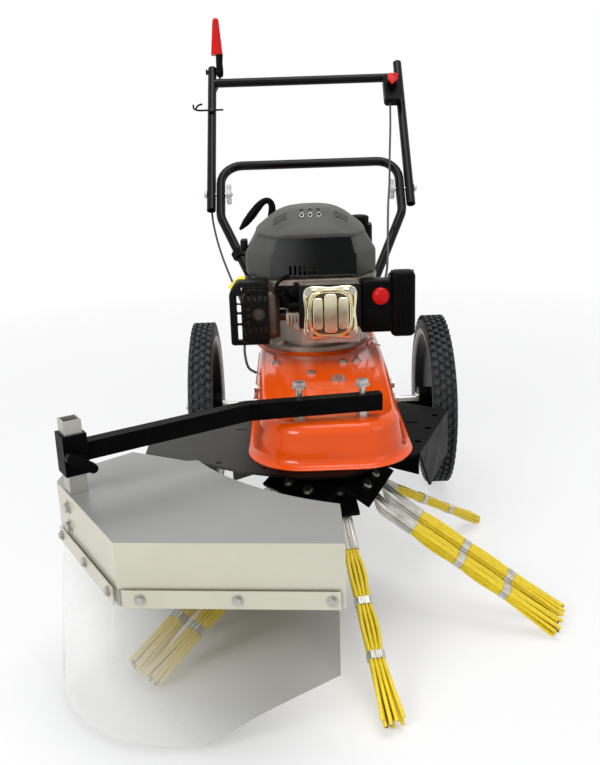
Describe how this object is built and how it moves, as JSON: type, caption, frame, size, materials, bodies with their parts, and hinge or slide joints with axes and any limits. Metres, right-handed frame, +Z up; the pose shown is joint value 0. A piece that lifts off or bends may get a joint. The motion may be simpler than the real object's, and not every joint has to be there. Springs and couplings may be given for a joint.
{
  "type": "power brush sweeper",
  "caption": "Walk-behind engine-driven sweeper with a spinning cable brush, orange belt cover, galvanised side guard with a clear skirt, rubber-tyred wheels and a folding tube handle.",
  "frame": {"origin": "on the ground under the middle of the machine's bounding box", "axes": "+Z up; +Y back along the machine towards the handle; +X across the machine, to the right in the picture"},
  "size_m": [0.7634, 1.5486, 1.0117],
  "materials": {
    "orange_paint": "gloss",
    "black_paint": "satin",
    "zinc": "zinc plated",
    "galvanised": "galvanised",
    "steel": "machined",
    "cast_alloy": "as cast",
    "champagne": "plated",
    "black_plastic": "moulded",
    "red_plastic": "moulded",
    "clear_plastic": "translucent",
    "clear_sheet": "clear",
    "belt_rubber": "matt",
    "tyre_rubber": "matt",
    "yellow_cable": "coated cable",
    "dark_steel": "heat stained"
  },
  "bodies": {
    "chassis": {"belt_cover": "orange_paint", "base_plate": "black_paint", "rear_apron": "black_paint", "spindle_housing": "black_paint", "spindle_bearings": "steel", "axle": "zinc", "axle_carrier": "black_paint", "chassis_bolts": "zinc", "guard_arm": "black_paint", "lower_handle": "black_paint", "crankcase": "cast_alloy", "valve_cover": "champagne", "engine_screws": "zinc", "plug_boot": "black_plastic", "muffler": "dark_steel", "muffler_guard": "black_paint", "carburettor": "cast_alloy", "air_cleaner_base": "black_plastic", "air_cleaner_cover": "black_plastic", "blower_housing": "black_plastic", "fuel_tank": "black_plastic", "drive_belt": "belt_rubber", "throttle_cable": "black_plastic", "clutch_cable": "black_plastic"},
    "upper_handle": {"upper_handle": "black_paint", "fold_bolts": "zinc", "throttle_box": "black_plastic", "rope_guide": "black_paint"},
    "throttle_lever": {"throttle_lever": "red_plastic"},
    "clutch_lever": {"clutch_lever": "black_paint", "lever_grip": "red_plastic"},
    "knob_left": {"knob_left": "clear_plastic"},
    "knob_right": {"knob_right": "clear_plastic"},
    "primer_bulb": {"primer_bulb": "red_plastic"},
    "starter_handle": {"starter_handle": "black_plastic"},
    "recoil_reel": {"recoil_reel": "black_plastic"},
    "fuel_cap": {"fuel_cap": "black_plastic"},
    "crank": {"crankshaft": "steel", "flywheel": "cast_alloy", "engine_pulley": "steel"},
    "rotor": {"rotor_spindle": "steel", "rotor_pulley": "steel", "rotor_plate": "black_paint", "rotor_bolts": "zinc", "bundle_clips": "galvanised", "bundle_bands": "galvanised", "brush_pairs": "yellow_cable", "brush_singles": "yellow_cable"},
    "idler_arm": {"idler_arm": "zinc"},
    "idler_pulley": {"idler_pulley": "steel"},
    "wheel_left": {"tyre_left": "tyre_rubber", "rim_left": "black_paint"},
    "wheel_right": {"tyre_right": "tyre_rubber", "rim_right": "black_paint"},
    "guard": {"guard_post": "galvanised", "guard_shell": "galvanised", "clear_skirt": "clear_sheet", "clamp_strips": "galvanised", "guard_bolts": "zinc"},
    "clamp_knob": {"clamp_knob": "black_plastic"}
  },
  "joints": [
    {"name": "rotor_spin", "type": "hinge", "parent": "chassis", "child": "rotor", "pos_m": [0.0166, -0.3757, 0.23], "axis": [0, 0, 1], "continuous": true},
    {"name": "crank_spin", "type": "hinge", "parent": "chassis", "child": "crank", "pos_m": [0.0066, 0.0763, 0.3], "axis": [0, 0, 1], "continuous": true},
    {"name": "idler_swing", "type": "hinge", "parent": "chassis", "child": "idler_arm", "pos_m": [0.0396, -0.2117, 0.275], "axis": [0, 0, 1], "range_deg": [-8, 0]},
    {"name": "idler_spin", "type": "hinge", "parent": "idler_arm", "child": "idler_pulley", "pos_m": [0.02178, -0.14739, 0.288], "axis": [0, 0, 1], "continuous": true},
    {"name": "wheel_left_spin", "type": "hinge", "parent": "chassis", "child": "wheel_left", "pos_m": [-0.2244, 0.1043, 0.178], "axis": [1, 0, 0], "continuous": true},
    {"name": "wheel_right_spin", "type": "hinge", "parent": "chassis", "child": "wheel_right", "pos_m": [0.2576, 0.1043, 0.178], "axis": [1, 0, 0], "continuous": true},
    {"name": "handle_fold", "type": "hinge", "parent": "chassis", "child": "upper_handle", "pos_m": [0.0166, 0.4983, 0.587], "axis": [1, 0, 0], "range_deg": [0, 110], "deforming": ["throttle_cable", "clutch_cable"]},
    {"name": "clutch_pull", "type": "hinge", "parent": "upper_handle", "child": "clutch_lever", "pos_m": [-0.2104, 0.74602, 0.8791], "axis": [1, 0, 0], "range_deg": [0, 45], "stiffness_Nm_per_rad": 0.8, "springref_deg": -14.32},
    {"name": "throttle_turn", "type": "hinge", "parent": "upper_handle", "child": "throttle_lever", "pos_m": [0.2346, 0.67184, 0.83646], "axis": [1, 0, 0], "range_deg": [-30, 30]},
    {"name": "knob_left_turn", "type": "hinge", "parent": "upper_handle", "child": "knob_left", "pos_m": [-0.1834, 0.4983, 0.587], "axis": [1, 0, 0], "continuous": true},
    {"name": "knob_right_turn", "type": "hinge", "parent": "upper_handle", "child": "knob_right", "pos_m": [0.2166, 0.4983, 0.587], "axis": [1, 0, 0], "continuous": true},
    {"name": "guard_height", "type": "slide", "parent": "chassis", "child": "guard", "axis": [0, 0, 1], "range_m": [-0.008, 0.024]},
    {"name": "clamp_turn", "type": "hinge", "parent": "chassis", "child": "clamp_knob", "pos_m": [-0.33989, -0.58229, 0.34144], "axis": [0.5105, -0.8599, 0], "continuous": true},
    {"name": "primer_press", "type": "slide", "parent": "chassis", "child": "primer_bulb", "axis": [0, 1, 0], "range_m": [0, 0.008], "stiffness_N_per_m": 300, "springref_m": -0.003},
    {"name": "starter_pull", "type": "slide", "parent": "chassis", "child": "starter_handle", "axis": [0, 0.7001, 0.7141], "range_m": [0, 0.5], "stiffness_N_per_m": 25, "springref_m": -0.3},
    {"name": "reel_turn", "type": "hinge", "parent": "chassis", "child": "recoil_reel", "pos_m": [0.0066, 0.0763, 0.56], "axis": [0, 0, 1], "range_deg": [-900, 0]},
    {"name": "fuel_cap_turn", "type": "hinge", "parent": "chassis", "child": "fuel_cap", "pos_m": [0.1126, 0.2363, 0.548], "axis": [0, 0, 1], "range_deg": [0, 90]}
  ],
  "couplings": [
    {"joint": "crank_spin", "follows": "rotor_spin", "ratio": 1.8824},
    {"joint": "idler_spin", "follows": "rotor_spin", "ratio": 2.4},
    {"joint": "idler_swing", "follows": "clutch_pull", "ratio": -0.17778},
    {"joint": "reel_turn", "follows": "starter_pull", "rad_per_m": -31.25}
  ]
}
